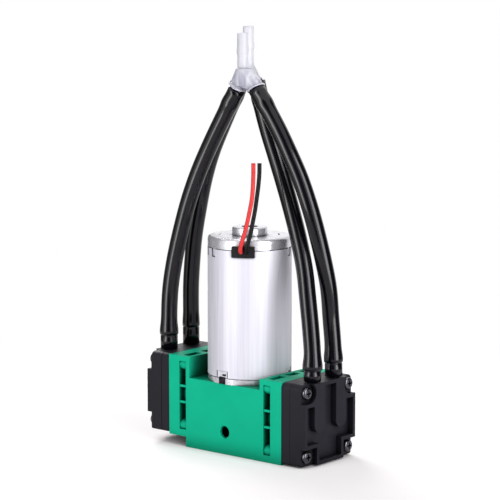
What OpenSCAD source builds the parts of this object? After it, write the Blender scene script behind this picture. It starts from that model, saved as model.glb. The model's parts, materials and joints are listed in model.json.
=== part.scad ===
// Twin-head diaphragm air pump: an upright motor on a base frame drives two opposed
// rods through one eccentric. The origin is on the motor's axis at the base's underside,
// +X points to the right head, -Y to the front with the access hole, +Z up. Millimetres.

/* [Base frame] */
// Depth of the base frame, front to back
base_d = 40; // [38:0.5:46]
// Clear width between the two flanges
bay_w = 45.6; // [44:0.2:52]
// Height of each flange
flange_h = 41; // [41:0.5:46]
// Thickness of a flange's inner plate
inner_t = 2.4; // [1.8:0.1:3.2]
// Width of the open pocket between a flange's two plates
pocket_w = 4.3; // [3.6:0.1:6]
// Thickness of a flange's outer plate
outer_t = 6.9; // [5:0.1:9]
// Thickness of the front and rear walls
wall_t = 2; // [1.6:0.1:3]
// Height of the motor's deck above the axis of the right rod
deck_rise = 15.1; // [15.1:0.1:18.5]
// Thickness of the deck
deck_t = 4; // [3:0.1:4]
// Height of the closed strip below each front window
window_sill = 3.5; // [2.5:0.1:5]
// Height of the closed strip above each front window
window_lintel = 2.6; // [2:0.1:4]
// Thickness of the two ribs across each window
rib_t = 1.2; // [0.8:0.1:1.6]
// Radius of the access hole in the front wall
access_r = 3; // [2.4:0.1:3.4]

/* [Motor] */
// Outer diameter of the motor can
can_d = 42; // [40:0.2:44]
// Length of the can between its end caps
can_len = 63.7; // [63:0.1:70]
// Wall of the can
can_t = 1.2; // [0.8:0.1:1.4]
// Height of the front cap's rim
front_cap_h = 3.2; // [3:0.1:4]
// Height of the rear cap's side
rear_cap_h = 5.65; // [5.2:0.05:7]
// Diameter of the front and rear bearing bosses
boss_d = 17.6; // [16.4:0.2:19]
// Height of the rear boss
rear_boss_h = 4.15; // [3:0.05:6]
// Diameter of the motor shaft
shaft_d = 5; // [4:0.1:5.6]
// Distance between the two screws that hold the motor
motor_pitch = 29; // [28:0.5:32]
// Radius of the motor screws
motor_screw_r = 2; // [1.5:0.1:2.2]
// Width of the lead grommet
grommet_w = 11.5; // [9:0.5:13]
// Height of the lead grommet
grommet_h = 5.4; // [4.6:0.2:6]
// Angle of the grommet from the front, towards the right head
grommet_angle = 30.5; // [20:0.5:44]
// How far the grommet's middle lies below the can's rear edge
grommet_drop = 0.4; // [0:0.1:0.8]

/* [Drive] */
// Offset of the eccentric's journal, half the stroke
eccentricity = 2; // [1:0.1:2]
// Diameter of the journal
journal_d = 12; // [11:0.5:12]
// Outer diameter of the rod bearings
bearing_d = 21; // [20:0.5:22]
// Width of a rod bearing
bearing_w = 5; // [4.6:0.1:5]
// Space between the two stacked bearings
bearing_gap = 0.2; // [0.2:0.05:0.4]
// Wall of the rod's ring around its bearing
rod_ring_t = 2; // [1.6:0.1:2.2]
// Width of the rod's arm
rod_arm_w = 8; // [6:0.5:10]
// Diameter of the rod's disc behind the diaphragm
rod_disc_d = 19; // [16:0.5:20]
// Width of the frame left outside the diaphragm
diaphragm_margin = 2.3; // [1.8:0.1:3]
// Thickness of the diaphragm
diaphragm_t = 1.2; // [0.8:0.1:1.4]
// Width of the diaphragm's rim, which the valve plate clamps
diaphragm_rim = 2.7; // [2:0.1:3.2]
// Diameter of the clamp disc on the diaphragm
clamp_d = 18; // [16:0.5:19]
// Thickness of the clamp disc
clamp_t = 1.4; // [1.2:0.1:1.5]

/* [Heads] */
// Thickness of the valve plate
plate_t = 5.4; // [4.4:0.1:6.4]
// Radius of the upper corners of the valve plate and the cover
high_corner_r = 3; // [1:0.2:4]
// Radius of the lower corners of the valve plate and the cover
low_corner_r = 1.2; // [0.6:0.2:4]
// Thickness from the valve plate to the cover's screw lugs
cover_t = 6.75; // [6:0.05:8.5]
// Height of the cover's raised face above the lugs
face_h = 2.75; // [2.4:0.05:3.4]
// Depth of the recess in the cover's face
recess_depth = 3.3; // [2:0.1:4]
// Width of the rim around the recess
rim_w = 1.8; // [1.2:0.1:2.4]
// Gap between the head's underside and the base's underside
head_lift = 0.7; // [0.3:0.1:1.5]
// Distance of the cover screws from the front and rear faces
screw_inset = 3.7; // [3.4:0.1:4.2]
// Height of the lower cover screws above the flange's underside
screw_low = 5.3; // [4.8:0.1:5.6]
// Distance of the upper cover screws below the flange's top
screw_drop = 4.25; // [4:0.05:4.8]
// Radius of a cover screw's shank
screw_r = 1.5; // [1.2:0.1:1.6]
// Length of a cover screw's shank
screw_len = 20; // [18:0.5:21]
// Half the distance between the two hose barbs of a head
barb_y = 8.5; // [8:0.1:9]
// Distance of the barbs inwards from the cover's raised face
barb_inset = 4.8; // [4.4:0.1:5.2]
// Height of a hose barb above the cover
barb_h = 13; // [10:0.5:16]
// Width of the channel ribs below the barbs
channel_w = 8.2; // [7:0.2:9]

/* [Hoses] */
// Outer diameter of the hoses
hose_d = 8; // [7:0.2:9]
// Outer diameter of the motor leads
lead_d = 2.1; // [1.6:0.1:2.4]
// Outer diameter of the Y connectors' stems at the tip
stem_d = 5.2; // [4.6:0.1:6]
// Length of a stem's straight tip, before its ridge
stem_tip = 5.5; // [4:0.5:6]
// How far the stem's ridge stands proud of the tip
stem_ridge = 0.8; // [0.4:0.1:1.2]

/* [Hidden] */
$fn = 96;

// Colours
green = "#1bb890";
plastic_black = "#302f36";
rubber_black = "#141416";
steel = "#c9cad2";
bright_steel = "#dcdde2";
dark_steel = "#5b5c62";
copper = "#b0682e";
red = "#e04648";
milky = "#e9e8f2";

// Clearances
slip = 0.02;
running = 0.05;
seat_gap = 0.3;
cut = 1;
overlap = 0.01;

// Places that follow from the driving sizes
pocket_x0 = bay_w / 2 + inner_t;
pocket_x1 = pocket_x0 + pocket_w;
flange_x = pocket_x1 + outer_t;
plate_x = flange_x + plate_t;
lug_x = plate_x + cover_t;
face_x = lug_x + face_h;
barb_x = face_x - barb_inset;
rod_pitch = bearing_w + bearing_gap;
axis_z = flange_h / 2;
deck_z = axis_z + deck_rise;
deck_under = deck_z - deck_t;
can_z = deck_z + front_cap_h;
rear_z = can_z + can_len;
boss_z = rear_z + rear_cap_h;
top_z = boss_z + rear_boss_h;
can_r = can_d / 2;
can_in_r = can_r - can_t;
shaft_r = shaft_d / 2;
boss_r = boss_d / 2;
screw_y = base_d / 2 - screw_inset;
screw_high = flange_h - screw_drop;

// Ribs across the windows and the top slot
rib_low_z = axis_z - 3;
rib_high_z = axis_z + rod_pitch;
top_rib_y = 3.8;
top_rib_w = 3.5;
top_slot_inset = 3;
rib_inset = 0.4;
screw_boss_r = 3.2;
rod_window = 0.7;
access_chamfer = 0.5;

// How far the grommet stands proud of the can
grommet_proud = 0.8;

// Motor bearings
small_bearing_r = 6.5;
small_bearing_w = 4;
front_bearing_z = deck_under + 0.4;
rear_bearing_z = boss_z + 0.85 - small_bearing_w;
boss_under = deck_under - 0.2;

// Armature
magnet_seat = 0.2;
magnet_t = 2.5;
magnet_gap = 0.7;
core_r = can_in_r - magnet_seat - magnet_t - magnet_gap;
core_len = 36;
core_clear = 11;
core_z = can_z + core_clear;
slot_count = 5;
end_turn_h = 5;
commutator_r = 5.5;
commutator_h = 9;
commutator_z = core_z + core_len + end_turn_h + 0.3;
brush_z = commutator_z + 2.4;
brush_size = 4;
brush_len = 9;
holder_wall = 1.5;
card_t = 3;

// Eccentric
hub_r = eccentricity + journal_d / 2 + 0.4;
journal_z = axis_z - bearing_w / 2 - seat_gap;
journal_top = axis_z + rod_pitch + bearing_w / 2 + seat_gap;
hub_len = 11.7;
hub_z = journal_z - hub_len;
set_screw_z = hub_z + 5.1;
set_screw_r = 1.5;

// Rod and diaphragm, measured along the rod
disc_t = 2.5;
diaphragm_seat = diaphragm_t;
rod_reach = flange_x - 1.8 - eccentricity;
rod_h = bearing_w - 0.4;
rim_r = min(base_d, flange_h) / 2 - diaphragm_margin;
chamber_r = rim_r - diaphragm_rim;
tube_t = 1.5;
flat_head_r = 2.8;
countersink = 1.2;
rod_screw_len = 6;
clamp_recess_r = clamp_d / 2 + eccentricity + 1.5;
clamp_recess = 1.1;
sheet_t = 0.6;
gasket_t = 0.6;
sheet_margin = 1.3;
sheet_w = 2 * (screw_y - screw_r - sheet_margin);
sheet_h = flange_h - 12;

// Cover
cover_top = flange_h;
lug_w = 9.4;
lug_low = 9.5;
notch_r = 5;
screw_head_r = 3.05;
screw_head_h = 1.95;
port_r = 1.5;
barb_r = 2.5;
channel_end = 16.5;

// Hose and lead routes
left_front_route = [
  [-46.5, -8.5, 46.5], [-46.5, -8.5, 62], [-46, -8, 77], [-43.5, -7.5, 92],
  [-39.5, -7, 107.5], [-35, -6, 123], [-29.5, -5.5, 136.5], [-23.5, -5, 148.5],
  [-17, -5, 159.5], [-10.5, -5, 170], [-4, -5, 180.5]
];
left_rear_route = [
  [-46.5, 8.5, 46.5], [-46.5, 8.5, 62], [-46, 8, 77], [-44.5, 7.5, 91],
  [-42.5, 7, 104], [-39, 6.5, 118.5], [-34.5, 5.5, 133], [-29, 5, 147],
  [-22.5, 5, 160], [-16, 5, 172], [-9.5, 5, 183.5]
];
right_rear_route = [
  [46.5, 8.5, 41.5], [46, 8.5, 56], [45, 8, 70], [45, 6, 85], [44, 3, 99],
  [42, 0, 113.5], [39.5, -2.5, 126], [35, -4, 139], [29, -5, 151], [22.5, -5, 161.5],
  [15.5, -5, 171.5], [8.5, -5, 181]
];
right_front_route = [
  [46.5, -8.5, 41.5], [46.5, -8.5, 54], [45, -8, 66.5], [42, -6.5, 80.5],
  [37.5, -3.5, 95], [31.5, -0.5, 108.5], [25, 2, 122], [18.5, 4, 135],
  [12.5, 5, 148], [7.5, 5, 160.5], [3.5, 5, 172.5], [0.5, 5, 184]
];
red_route = [
  [9.8, -18.4, 101.8], [10.7, -20.2, 103.2], [11.6, -20.6, 106], [12.8, -19.8, 111],
  [14, -18.8, 117], [15, -18, 123], [15.8, -17.3, 129], [16, -16.8, 135],
  [16, -16.5, 141], [16, -16.5, 146]
];
black_route = [
  [12, -17, 101.8], [13.2, -18.6, 103.2], [14.2, -18.8, 106], [15.2, -17.9, 111],
  [16, -17, 117], [16.8, -16.2, 123], [17.4, -15.6, 129], [17.9, -15, 135],
  [18.2, -14.6, 141], [18.2, -14.5, 146]
];

// The two Y connectors: where the arms meet, the stem's place and its top
front_fork = [2.4, -5, 190.5];
front_stem_x = 0.2;
front_stem_top = 208.2;
rear_fork = [-4.4, 5, 193];
rear_stem_x = -4.7;
rear_stem_top = 211.2;
arm_angle = 32;
arm_len = 11.1;
collar_r = 4.4;
collar_t = 1;
arm_tail = 10;
ridge_len = 3.5;
ridge_back = 1;
neck_r = 2.4;
shoulder_r = 3.3;
shoulder_h = 1.6;

// Tabs lanced in the can, by their angle from the front towards the right head
crimp_angles = [-40, -18.5, 109, 131, 214, 236];
crimp_w = 3;
crimp_h = 4;
lug_angles = [-1.4, 109, 225];
lug_w_can = 7.2;
lug_h_can = 3.5;
lug_eye_w = 2.5;
lug_eye_z = 0.9;
pressed = 0.4;
slit = 0.5;
key_w = 4.3;
key_t = 1.3;

// A point at radius r and angle a
function polar(r, a) = [r * cos(a), r * sin(a)];
// Points along an arc about c, from angle a0 to angle a1 in n steps
function arc(c, r, a0, a1, n = 8) = [for (i = [0:n]) c + polar(r, a0 + (a1 - a0) * i / n)];
function unit(v) = v / norm(v);
// A smooth step from 0 to 1
function ease(t) = (1 - cos(180 * t)) / 2;

// Puts a head's own shape, drawn for the right side, on either side of the pump
module head_side(s) {
  translate([0, 0, s < 0 ? rod_pitch : 0])
    rotate([0, 0, s < 0 ? 180 : 0])
      children();
}

// Extrudes a 2D outline, drawn as front-to-rear and height, outwards along X
module along_x(x0, len) {
  translate([x0, 0, 0])
    rotate([90, 0, 90])
      linear_extrude(len)
        children();
}

// A solid of revolution about the rod's axis, with x measured outwards
module turned_x() {
  translate([0, 0, axis_z])
    rotate([0, 90, 0])
      rotate_extrude()
        children();
}

module tube(r_out, r_in, z0, h) {
  translate([0, 0, z0])
    difference() {
      cylinder(r = r_out, h = h);
      translate([0, 0, -cut])
        cylinder(r = r_in, h = h + 2 * cut);
    }
}

// A ball bearing seen from outside: two rings with recessed shields between them
module ball_bearing(r_in, r_out, w) {
  step = (r_out - r_in) / 4;
  rotate_extrude()
    polygon([
      [r_in, 0], [r_in + step, 0], [r_in + step, 0.3], [r_out - step, 0.3],
      [r_out - step, 0], [r_out, 0], [r_out, w], [r_out - step, w],
      [r_out - step, w - 0.3], [r_in + step, w - 0.3], [r_in + step, w], [r_in, w]
    ]);
}

// A pan head with a cross recess, its seat at z = 0, and the shank below it
module pan_screw(shank_r, shank_len, head_r, head_h) {
  edge = head_h * 0.55;
  difference() {
    union() {
      rotate_extrude()
        polygon(concat(
          [[0, 0], [head_r, 0]],
          arc([head_r - edge, head_h - edge], edge, 0, 90, 6),
          [[0, head_h]]
        ));
      translate([0, 0, -shank_len])
        cylinder(r = shank_r, h = shank_len + overlap);
    }
    for (a = [0, 90])
      rotate([0, 0, a])
        translate([-head_r * 0.55, -head_r * 0.14, head_h * 0.35])
          cube([head_r * 1.1, head_r * 0.28, head_h]);
  }
}

// A cord's plain solid: one ring of the tube across each point of its route
module cord_tube(route, d, sides) {
  last = len(route) - 1;
  rings = [for (i = [0:last])
    let (
      ahead = route[min(i + 1, last)],
      behind = route[max(i - 1, 0)],
      along = unit(ahead - behind),
      side = unit(cross(along, [0, 1, 0])),
      other = cross(along, side)
    )
    [for (k = [0:sides - 1])
      route[i] + d / 2 * (cos(360 * k / sides) * side + sin(360 * k / sides) * other)]
  ];
  walls = [for (i = [0:last - 1], k = [0:sides - 1])
    [i * sides + k, i * sides + (k + 1) % sides,
     (i + 1) * sides + (k + 1) % sides, (i + 1) * sides + k]
  ];
  first_end = [for (k = [sides - 1:-1:0]) k];
  last_end = [for (k = [0:sides - 1]) last * sides + k];
  polyhedron(
    points = [for (ring = rings) each ring],
    faces = concat(walls, [first_end, last_end]),
    convexity = 4
  );
}

module hose(route) {
  color(rubber_black)
    cord_tube(route, hose_d, 12);
}

module red_lead() {
  color(red)
    cord_tube(red_route, lead_d, 8);
}

module black_lead() {
  color(rubber_black)
    cord_tube(black_route, lead_d, 8);
}

// Base frame
module screw_places() {
  for (y = [-screw_y, screw_y], z = [screw_low, screw_high])
    translate([0, y, z])
      rotate([0, 90, 0])
        children();
}

// The slot in a flange's top, with two ribs across it
module top_slot() {
  slot_y = base_d / 2 - top_slot_inset;
  z0 = flange_h - window_lintel - cut;
  difference() {
    translate([pocket_x0, -slot_y, z0])
      cube([pocket_w, 2 * slot_y, window_lintel + 2 * cut]);
    for (y = [-top_rib_y - top_rib_w, top_rib_y])
      translate([pocket_x0 - cut, y, z0 + cut])
        cube([pocket_w + 2 * cut, top_rib_w, window_lintel + 2 * cut]);
  }
}

module flange_pocket() {
  difference() {
    union() {
      translate([pocket_x0, -base_d / 2 - cut, window_sill])
        cube([pocket_w, base_d + 2 * cut, flange_h - window_sill - window_lintel]);
      top_slot();
    }
    translate([pocket_x0 - cut, 0, axis_z])
      rotate([0, 90, 0])
        cylinder(r = chamber_r + tube_t, h = pocket_w + 2 * cut);
    translate([pocket_x0 - cut, 0, 0])
      screw_places()
        cylinder(r = screw_boss_r, h = pocket_w + 2 * cut);
    for (z = [rib_low_z, rib_high_z])
      translate([pocket_x0 - cut, -base_d / 2 + rib_inset, z - rib_t / 2])
        cube([pocket_w + 2 * cut, base_d - 2 * rib_inset, rib_t]);
  }
}

module flange_cuts() {
  ring_r = bearing_d / 2 + rod_ring_t;
  flange_pocket();
  translate([pocket_x0, 0, axis_z])
    rotate([0, 90, 0])
      cylinder(r = chamber_r, h = flange_x);
  translate([flange_x - diaphragm_seat, 0, axis_z])
    rotate([0, 90, 0])
      cylinder(r = rim_r + seat_gap, h = diaphragm_seat + cut);
  translate([bay_w / 2 - cut, -ring_r - cut, axis_z - bearing_w / 2 - rod_window])
    cube([inner_t + 2 * cut, 2 * (ring_r + cut), bearing_w + 2 * rod_window]);
  translate([lug_x - screw_len - cut, 0, 0])
    screw_places()
      cylinder(r = screw_r + slip, h = screw_len);
}

module base_frame() {
  block_w = bay_w + 2 * inner_t;
  color(green)
    difference() {
      union() {
        translate([-block_w / 2, -base_d / 2, 0])
          cube([block_w, base_d, deck_z]);
        for (s = [-1, 1])
          head_side(s)
            translate([bay_w / 2, -base_d / 2, 0])
              cube([flange_x - bay_w / 2, base_d, flange_h]);
      }
      translate([-bay_w / 2, -base_d / 2 + wall_t, -cut])
        cube([bay_w, base_d - 2 * wall_t, deck_under + cut]);
      translate([0, 0, deck_under - cut])
        cylinder(r = boss_r + slip, h = deck_t + 2 * cut);
      for (x = [-motor_pitch / 2, motor_pitch / 2])
        translate([x, 0, deck_under - cut])
          cylinder(r = motor_screw_r + slip, h = deck_t + 2 * cut);
      translate([0, -base_d / 2 - cut, set_screw_z])
        rotate([-90, 0, 0])
          cylinder(r = access_r, h = wall_t + 2 * cut);
      translate([0, -base_d / 2 - overlap, set_screw_z])
        rotate([-90, 0, 0])
          cylinder(r1 = access_r + access_chamfer, r2 = access_r, h = access_chamfer);
      for (s = [-1, 1])
        head_side(s)
          flange_cuts();
    }
}

// Motor
module grommet_block(grow) {
  h = grommet_h + 2 * grow;
  rotate([0, 0, grommet_angle])
    translate([0, 0, rear_z - grommet_drop - h / 2])
      intersection() {
        translate([-grommet_w / 2 - grow, -can_r - 2, 0])
          cube([grommet_w + 2 * grow, 5, h]);
        cylinder(r = can_r + grommet_proud, h = h);
      }
}

// A tab pressed in at the can's rear edge, with a slit below it and one beside it
module crimp_tab() {
  translate([-crimp_w / 2, -can_r - cut, rear_z - crimp_h]) {
    cube([crimp_w, cut + pressed, crimp_h + cut]);
    cube([crimp_w, cut + can_t + slit, slit]);
    cube([slit, cut + can_t + slit, crimp_h + cut]);
  }
}

// A lug pressed in at the can's front edge, cut free at its sides, with a hole in it
module front_lug() {
  translate([-lug_w_can / 2, -can_r - cut, can_z - cut]) {
    cube([lug_w_can, cut + pressed, lug_h_can + cut]);
    for (x = [0, lug_w_can - slit])
      translate([x, 0, 0])
        cube([slit, cut + can_t + slit, lug_h_can + cut]);
    translate([lug_w_can / 2, 0, cut + lug_eye_z])
      cube([lug_eye_w, cut + can_t + slit, 2 * slit]);
  }
}

module motor_can() {
  color(steel)
    difference() {
      tube(can_r, can_in_r, can_z, can_len);
      grommet_block(slip);
      for (a = crimp_angles)
        rotate([0, 0, a])
          crimp_tab();
      for (a = lug_angles)
        rotate([0, 0, a])
          front_lug();
    }
}

module motor_front_cap() {
  cap_r = can_r - 0.15;
  edge = 0.4;
  color(steel)
    difference() {
      rotate_extrude()
        polygon([
          [0, boss_under], [boss_r, boss_under], [boss_r, deck_z], [cap_r, deck_z],
          [cap_r, can_z - edge], [cap_r - edge, can_z], [0, can_z]
        ]);
      translate([0, 0, boss_under - cut])
        cylinder(r = shaft_r + 0.6, h = 2 * cut + 1);
      translate([0, 0, front_bearing_z])
        cylinder(r = small_bearing_r + slip, h = can_z);
      for (x = [-motor_pitch / 2, motor_pitch / 2])
        translate([x, 0, deck_z - cut])
          cylinder(r = motor_screw_r + slip, h = front_cap_h - 0.6 + cut);
      for (a = lug_angles)
        rotate([0, 0, a])
          translate([-key_w / 2, -can_r - cut, deck_z - cut])
            cube([key_w, key_t + cut, front_cap_h + 2 * cut]);
    }
}

module motor_rear_cap() {
  edge = 1.6;
  boss_edge = 0.5;
  eye_r = 4.2;
  eye_depth = 1.2;
  mark_r = 15;
  mark_depth = 0.4;
  dimple_r = 0.6;
  dimple_angles = [-64, -50];
  slot_angle = 135;
  slot_size = [5.6, 0.8];
  color(bright_steel)
    difference() {
      rotate_extrude()
        polygon(concat(
          [[0, rear_z], [can_r - 0.4, rear_z], [can_r - 0.1, rear_z + 0.4]],
          arc([can_r - 0.1 - edge, boss_z - edge], edge, 0, 90, 6),
          [[boss_r, boss_z], [boss_r, top_z - boss_edge], [boss_r - boss_edge, top_z]],
          [[0, top_z]]
        ));
      translate([0, 0, rear_z - cut])
        cylinder(r = small_bearing_r + slip, h = rear_bearing_z + small_bearing_w - rear_z + cut);
      translate([0, 0, rear_z])
        cylinder(r = shaft_r + 0.6, h = top_z);
      translate([0, 0, top_z - eye_depth])
        cylinder(r = eye_r, h = eye_depth + cut);
      for (a = dimple_angles)
        rotate([0, 0, a])
          translate([0, -mark_r, boss_z - mark_depth])
            cylinder(r = dimple_r, h = cut);
      rotate([0, 0, slot_angle])
        translate([-slot_size[0] / 2, -mark_r, boss_z - mark_depth])
          cube([slot_size[0], slot_size[1], cut]);
      grommet_block(slip);
    }
}

module motor_magnets() {
  magnet_r = can_in_r - magnet_seat;
  split_w = 14;
  color(dark_steel)
    difference() {
      tube(magnet_r, core_r + magnet_gap, core_z - 4, core_len + 8);
      translate([-split_w / 2, -can_r, core_z - 4 - cut])
        cube([split_w, can_d, core_len + 8 + 2 * cut]);
    }
}

module front_bearing() {
  color(bright_steel)
    translate([0, 0, front_bearing_z])
      ball_bearing(shaft_r + slip, small_bearing_r, small_bearing_w);
}

module rear_bearing() {
  color(bright_steel)
    translate([0, 0, rear_bearing_z])
      ball_bearing(shaft_r + slip, small_bearing_r, small_bearing_w);
}

module brush_card() {
  holder_w = brush_size + 2 * holder_wall;
  card_z = rear_z - card_t;
  color(plastic_black)
    difference() {
      union() {
        tube(can_in_r - seat_gap, commutator_r + holder_wall, card_z, card_t);
        for (a = [0, 180])
          rotate([0, 0, a])
            translate([commutator_r + holder_wall, -holder_w / 2, brush_z - 1])
              cube([brush_len, holder_w, card_z - brush_z + 1 + slit]);
      }
      translate([0, 0, brush_z - 2])
        cylinder(r = commutator_r + holder_wall, h = rear_z);
      translate([-can_r, -brush_size / 2 - slip, brush_z - slip])
        cube([can_d, brush_size + 2 * slip, brush_size + 2 * slip]);
      grommet_block(slip);
    }
}

module brushes() {
  color(dark_steel)
    difference() {
      for (a = [0, 180])
        rotate([0, 0, a])
          translate([commutator_r - 1, -brush_size / 2, brush_z])
            cube([brush_len, brush_size, brush_size]);
      translate([0, 0, brush_z - cut])
        cylinder(r = commutator_r + running, h = brush_size + 2 * cut);
    }
}

module lead_grommet() {
  color(rubber_black)
    grommet_block(0);
}

module motor_screws() {
  color(dark_steel)
    for (x = [-motor_pitch / 2, motor_pitch / 2])
      translate([x, 0, deck_under])
        rotate([180, 0, 0])
          pan_screw(motor_screw_r, deck_t + front_cap_h - 0.8, motor_screw_r + 1.6, 2.2);
}

module motor_shaft() {
  color(bright_steel)
    translate([0, 0, hub_z + 1])
      cylinder(r = shaft_r, h = top_z - 0.8 - hub_z - 1);
}

// Slot between two teeth of the core, drawn to the right of its axis
module slot_outline(inset) {
  half = 180 / slot_count - 9 - inset * 4;
  polygon(concat(
    arc([0, 0], core_r - 2 - inset, -half, half, 8),
    arc([0, 0], 6.4 + inset, half, -half, 8)
  ));
}

module armature_core() {
  color(dark_steel)
    translate([0, 0, core_z])
      difference() {
        cylinder(r = core_r, h = core_len);
        translate([0, 0, -cut])
          cylinder(r = shaft_r + slip, h = core_len + 2 * cut);
        for (i = [0:slot_count - 1])
          rotate([0, 0, i * 360 / slot_count])
            translate([0, 0, -cut])
              linear_extrude(core_len + 2 * cut) {
                slot_outline(0);
                translate([core_r - 3, -1.1])
                  square([4, 2.2]);
              }
      }
}

module armature_windings() {
  color(copper)
    translate([0, 0, core_z]) {
      for (i = [0:slot_count - 1])
        rotate([0, 0, i * 360 / slot_count])
          translate([0, 0, -end_turn_h / 2])
            linear_extrude(core_len + end_turn_h)
              slot_outline(0.3);
      for (z = [-end_turn_h, core_len + 0.2])
        tube(core_r - 2.4, 5, z, end_turn_h - 0.2);
    }
}

module commutator() {
  groove = 0.5;
  color(copper)
    translate([0, 0, commutator_z])
      difference() {
        cylinder(r = commutator_r, h = commutator_h);
        translate([0, 0, -cut])
          cylinder(r = shaft_r + slip, h = commutator_h + 2 * cut);
        for (i = [0:slot_count - 1])
          rotate([0, 0, (i + 0.5) * 360 / slot_count])
            translate([commutator_r - groove, -groove / 2, -cut])
              cube([2 * groove, groove, commutator_h + 2 * cut]);
      }
}

// Drive
module eccentric_hub() {
  color(bright_steel)
    difference() {
      union() {
        translate([0, 0, hub_z])
          cylinder(r = hub_r, h = journal_z - hub_z);
        translate([eccentricity, 0, journal_z - overlap])
          cylinder(r = journal_d / 2, h = journal_top - journal_z);
      }
      translate([0, 0, hub_z - cut])
        cylinder(r = shaft_r + slip, h = journal_top);
      translate([0, 0, set_screw_z])
        rotate([90, 0, 0])
          cylinder(r = set_screw_r + slip, h = hub_r + cut);
    }
}

module eccentric_set_screw() {
  len = hub_r - shaft_r - 0.6;
  color(dark_steel)
    translate([0, -shaft_r - 0.1, set_screw_z])
      rotate([90, 0, 0])
        difference() {
          cylinder(r = set_screw_r, h = len);
          translate([0, 0, len - 1.5])
            cylinder(r = 0.85, h = 2, $fn = 6);
        }
}

// One rod, drawn for the right side, with the crank shifted by shift along X
module connecting_rod(shift) {
  ring_r = bearing_d / 2 + rod_ring_t;
  disc_x = shift + rod_reach;
  color(bright_steel)
    difference() {
      union() {
        translate([shift, 0, axis_z - rod_h / 2])
          cylinder(r = ring_r, h = rod_h);
        translate([shift, -rod_arm_w / 2, axis_z - rod_h / 2])
          cube([rod_reach - disc_t + 0.5, rod_arm_w, rod_h]);
        translate([disc_x - disc_t, 0, axis_z])
          rotate([0, 90, 0])
            cylinder(d = rod_disc_d, h = disc_t);
        translate([disc_x - disc_t - 2, 0, axis_z])
          rotate([0, 90, 0])
            cylinder(r = 5, h = 2.5);
      }
      translate([shift, 0, axis_z - rod_h])
        cylinder(r = bearing_d / 2 + slip, h = 2 * rod_h);
      translate([disc_x - rod_screw_len - diaphragm_t - cut, 0, axis_z])
        rotate([0, 90, 0])
          cylinder(r = screw_r + slip, h = rod_screw_len + diaphragm_t + 2 * cut);
    }
}

module rod_bearing(shift) {
  color(dark_steel)
    translate([shift, 0, axis_z - bearing_w / 2])
      ball_bearing(journal_d / 2 + running, bearing_d / 2, bearing_w);
}

module diaphragm_clamp(shift) {
  color(bright_steel)
    translate([shift + rod_reach + diaphragm_t, 0, axis_z])
      rotate([0, 90, 0])
        difference() {
          cylinder(d = clamp_d, h = clamp_t);
          translate([0, 0, -cut])
            cylinder(r = screw_r + slip, h = clamp_t + 2 * cut);
          translate([0, 0, clamp_t - countersink])
            cylinder(r1 = screw_r + slip, r2 = flat_head_r + slip, h = countersink);
          translate([0, 0, clamp_t - overlap])
            cylinder(r = flat_head_r + slip, h = cut);
        }
}

module diaphragm_screw(shift) {
  color(dark_steel)
    translate([shift + rod_reach + diaphragm_t, 0, axis_z])
      rotate([0, 90, 0])
        difference() {
          union() {
            translate([0, 0, -diaphragm_t - rod_screw_len])
              cylinder(r = screw_r, h = diaphragm_t + rod_screw_len + clamp_t - countersink + overlap);
            translate([0, 0, clamp_t - countersink])
              cylinder(r1 = screw_r, r2 = flat_head_r, h = countersink);
          }
          for (a = [0, 90])
            rotate([0, 0, a])
              translate([-1.6, -0.4, clamp_t - 0.8])
                cube([3.2, 0.8, cut]);
        }
}

// Moulded rubber disc: flat under the clamp, one soft step out to its clamped rim
module diaphragm(shift) {
  centre = shift + rod_reach;
  rim = flange_x - diaphragm_seat;
  flat_r = clamp_d / 2 + 0.8;
  edge_r = chamber_r - 0.3;
  steps = 8;
  bend = [for (i = [0:steps])
    [flat_r + (edge_r - flat_r) * i / steps, centre + (rim - centre) * ease(i / steps)]];
  color(rubber_black)
    turned_x()
      polygon(concat(
        [[screw_r + slip, centre], [flat_r, centre]],
        bend,
        [[rim_r, rim], [rim_r, rim + diaphragm_t], [edge_r, rim + diaphragm_t]],
        [for (i = [steps:-1:0]) bend[i] + [0, diaphragm_t]],
        [[screw_r + slip, centre + diaphragm_t]]
      ));
}

// Heads
module head_outline() {
  h = cover_top - head_lift;
  translate([0, head_lift]) {
    for (side = [-1, 1]) {
      translate([side * (base_d / 2 - low_corner_r), low_corner_r])
        circle(r = low_corner_r);
      translate([side * (base_d / 2 - high_corner_r), h - high_corner_r])
        circle(r = high_corner_r);
    }
    translate([low_corner_r - base_d / 2, 0])
      square([base_d - 2 * low_corner_r, h / 2]);
    translate([high_corner_r - base_d / 2, h / 2])
      square([base_d - 2 * high_corner_r, h / 2]);
    translate([-base_d / 2, low_corner_r])
      square([base_d, h - low_corner_r - high_corner_r]);
  }
}

module sheet_outline(grow) {
  translate([-sheet_w / 2 - grow, axis_z - sheet_h / 2 - grow])
    square([sheet_w + 2 * grow, sheet_h + 2 * grow]);
}

module screw_bores(x0, len) {
  translate([x0 - cut, 0, 0])
    screw_places()
      cylinder(r = screw_r + 0.2, h = len + 2 * cut);
}

module valve_plate() {
  depth = sheet_t + gasket_t;
  color(plastic_black)
    difference() {
      along_x(flange_x, plate_t)
        head_outline();
      translate([flange_x - cut, 0, axis_z])
        rotate([0, 90, 0])
          cylinder(r = clamp_recess_r, h = clamp_recess + cut);
      along_x(plate_x - depth, depth + cut)
        sheet_outline(0.2);
      for (y = [-barb_y + 2.5, barb_y - 2.5])
        translate([flange_x, y, axis_z])
          rotate([0, 90, 0])
            cylinder(r = 2, h = plate_t + cut);
      screw_bores(flange_x, plate_t);
    }
}

// One sheet for both valves: each flap is left free by a slot around three of its sides
module valve_sheet() {
  flap = 4;
  slot = 0.8;
  color(rubber_black)
    along_x(plate_x - gasket_t - sheet_t, sheet_t)
      difference() {
        sheet_outline(0);
        for (y = [-barb_y + 2.5, barb_y - 2.5])
          translate([y, axis_z])
            difference() {
              circle(r = flap);
              circle(r = flap - slot);
              translate([-flap, flap * 0.4])
                square([2 * flap, flap]);
            }
      }
}

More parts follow.
